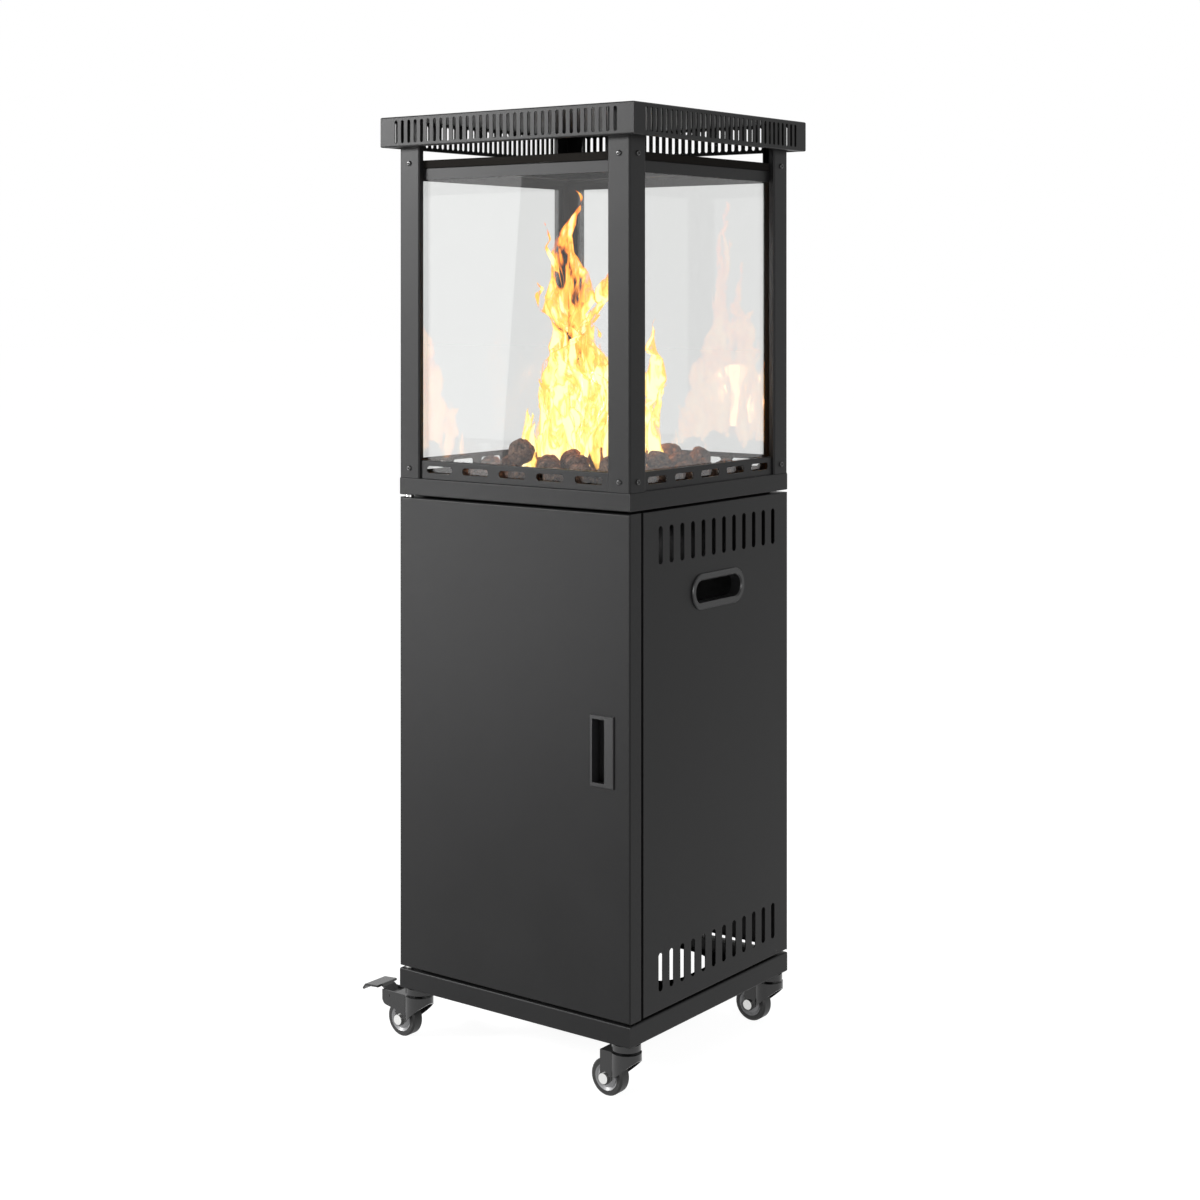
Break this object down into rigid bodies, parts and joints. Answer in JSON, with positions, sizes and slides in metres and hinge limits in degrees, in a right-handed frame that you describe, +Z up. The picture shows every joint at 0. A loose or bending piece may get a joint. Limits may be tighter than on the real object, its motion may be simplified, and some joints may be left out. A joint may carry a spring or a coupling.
{
  "type": "gas patio heater",
  "caption": "Square gas patio heater: bottle cabinet with hinged door and carry handles on swivel casters, glass fire chamber with lava rocks, vented hood.",
  "frame": {"origin": "on the floor under the middle of the overall bounding box", "axes": "+Z up, +X to the right when looking at the door, the door faces -Y"},
  "size_m": [0.49, 0.439, 1.3134],
  "materials": {
    "cabinet_coat": "satin",
    "chamber_coat": "satin",
    "screw_steel": "satin",
    "handle_plastic": "matte",
    "pane_glass": "clear",
    "burner_steel": "heat stained",
    "gas_brass": "satin",
    "zinc_steel": "zinc plated",
    "lava_stone": "rough stone",
    "fork_steel": "satin",
    "axle_steel": "satin",
    "brake_steel": "satin",
    "hub_plastic": "matte",
    "tyre_rubber": "matte"
  },
  "bodies": {
    "heater_frame": {"base_tray": "cabinet_coat", "right_side_panel": "cabinet_coat", "left_side_panel": "cabinet_coat", "right_carry_handle": "handle_plastic", "left_carry_handle": "handle_plastic", "rear_panel": "cabinet_coat", "control_fascia": "cabinet_coat", "door_magnet": "handle_plastic", "gas_valve": "gas_brass", "igniter_barrel": "handle_plastic", "collar": "cabinet_coat", "fire_tray": "burner_steel", "burner": "burner_steel", "mixing_tube": "burner_steel", "feed_pipe": "gas_brass", "gas_inlet": "gas_brass", "ignition_electrode": "burner_steel", "flame_sensor": "burner_steel", "lava_rocks": "lava_stone", "front_right_post": "chamber_coat", "back_right_post": "chamber_coat", "back_left_post": "chamber_coat", "front_left_post": "chamber_coat", "slotted_sills": "chamber_coat", "front_glass": "pane_glass", "right_glass": "pane_glass", "back_glass": "pane_glass", "left_glass": "pane_glass", "corner_beads": "chamber_coat", "head_rail": "chamber_coat", "ceiling_plate": "chamber_coat", "hood": "chamber_coat", "post_screws": "screw_steel", "caster_stems": "zinc_steel", "caster_nuts": "screw_steel"},
    "door": {"door_panel": "cabinet_coat", "door_pull": "handle_plastic", "door_pivot_pins": "zinc_steel", "door_strike_plate": "zinc_steel"},
    "knob": {"valve_spindle": "gas_brass", "control_knob": "handle_plastic"},
    "igniter": {"igniter_button": "handle_plastic"},
    "front_right_swivel": {"front_right_fork": "fork_steel", "front_right_axle": "axle_steel"},
    "front_right_wheel": {"front_right_hub": "hub_plastic", "front_right_tyre": "tyre_rubber"},
    "front_left_swivel": {"front_left_fork": "fork_steel", "front_left_axle": "axle_steel"},
    "front_left_wheel": {"front_left_hub": "hub_plastic", "front_left_tyre": "tyre_rubber"},
    "front_left_brake": {"front_left_brake_pedal": "brake_steel"},
    "back_right_swivel": {"back_right_fork": "fork_steel", "back_right_axle": "axle_steel"},
    "back_right_wheel": {"back_right_hub": "hub_plastic", "back_right_tyre": "tyre_rubber"},
    "back_left_swivel": {"back_left_fork": "fork_steel", "back_left_axle": "axle_steel"},
    "back_left_wheel": {"back_left_hub": "hub_plastic", "back_left_tyre": "tyre_rubber"},
    "back_left_brake": {"back_left_brake_pedal": "brake_steel"}
  },
  "joints": [
    {"name": "door_hinge", "type": "hinge", "parent": "heater_frame", "child": "door", "pos_m": [-0.16453, -0.19, 0.4396], "axis": [0, 0, -1], "range_deg": [0, 110]},
    {"name": "knob_turn", "type": "hinge", "parent": "heater_frame", "child": "knob", "pos_m": [0.02548, -0.17, 0.7375], "axis": [0, -1, 0], "range_deg": [0, 180]},
    {"name": "igniter_press", "type": "slide", "parent": "heater_frame", "child": "igniter", "axis": [0, 1, 0], "range_m": [0, 0.005], "stiffness_N_per_m": 300, "springref_m": -0.001},
    {"name": "front_right_swivel_turn", "type": "hinge", "parent": "heater_frame", "child": "front_right_swivel", "pos_m": [0.20597, -0.1805, 0.062], "axis": [0, 0, 1], "continuous": true},
    {"name": "front_right_wheel_roll", "type": "hinge", "parent": "front_right_swivel", "child": "front_right_wheel", "pos_m": [0.17997, -0.1805, 0.025], "axis": [0, 1, 0], "continuous": true},
    {"name": "front_left_swivel_turn", "type": "hinge", "parent": "heater_frame", "child": "front_left_swivel", "pos_m": [-0.15502, -0.1805, 0.062], "axis": [0, 0, 1], "continuous": true},
    {"name": "front_left_wheel_roll", "type": "hinge", "parent": "front_left_swivel", "child": "front_left_wheel", "pos_m": [-0.18102, -0.1805, 0.025], "axis": [0, 1, 0], "continuous": true},
    {"name": "front_left_brake_press", "type": "hinge", "parent": "front_left_swivel", "child": "front_left_brake", "pos_m": [-0.20103, -0.1805, 0.055], "axis": [0, -1, 0], "range_deg": [0, 12]},
    {"name": "back_right_swivel_turn", "type": "hinge", "parent": "heater_frame", "child": "back_right_swivel", "pos_m": [0.20597, 0.1805, 0.062], "axis": [0, 0, 1], "continuous": true},
    {"name": "back_right_wheel_roll", "type": "hinge", "parent": "back_right_swivel", "child": "back_right_wheel", "pos_m": [0.17997, 0.1805, 0.025], "axis": [0, 1, 0], "continuous": true},
    {"name": "back_left_swivel_turn", "type": "hinge", "parent": "heater_frame", "child": "back_left_swivel", "pos_m": [-0.15502, 0.1805, 0.062], "axis": [0, 0, 1], "continuous": true},
    {"name": "back_left_wheel_roll", "type": "hinge", "parent": "back_left_swivel", "child": "back_left_wheel", "pos_m": [-0.18102, 0.1805, 0.025], "axis": [0, 1, 0], "continuous": true},
    {"name": "back_left_brake_press", "type": "hinge", "parent": "back_left_swivel", "child": "back_left_brake", "pos_m": [-0.20103, 0.1805, 0.055], "axis": [0, -1, 0], "range_deg": [0, 12]}
  ]
}
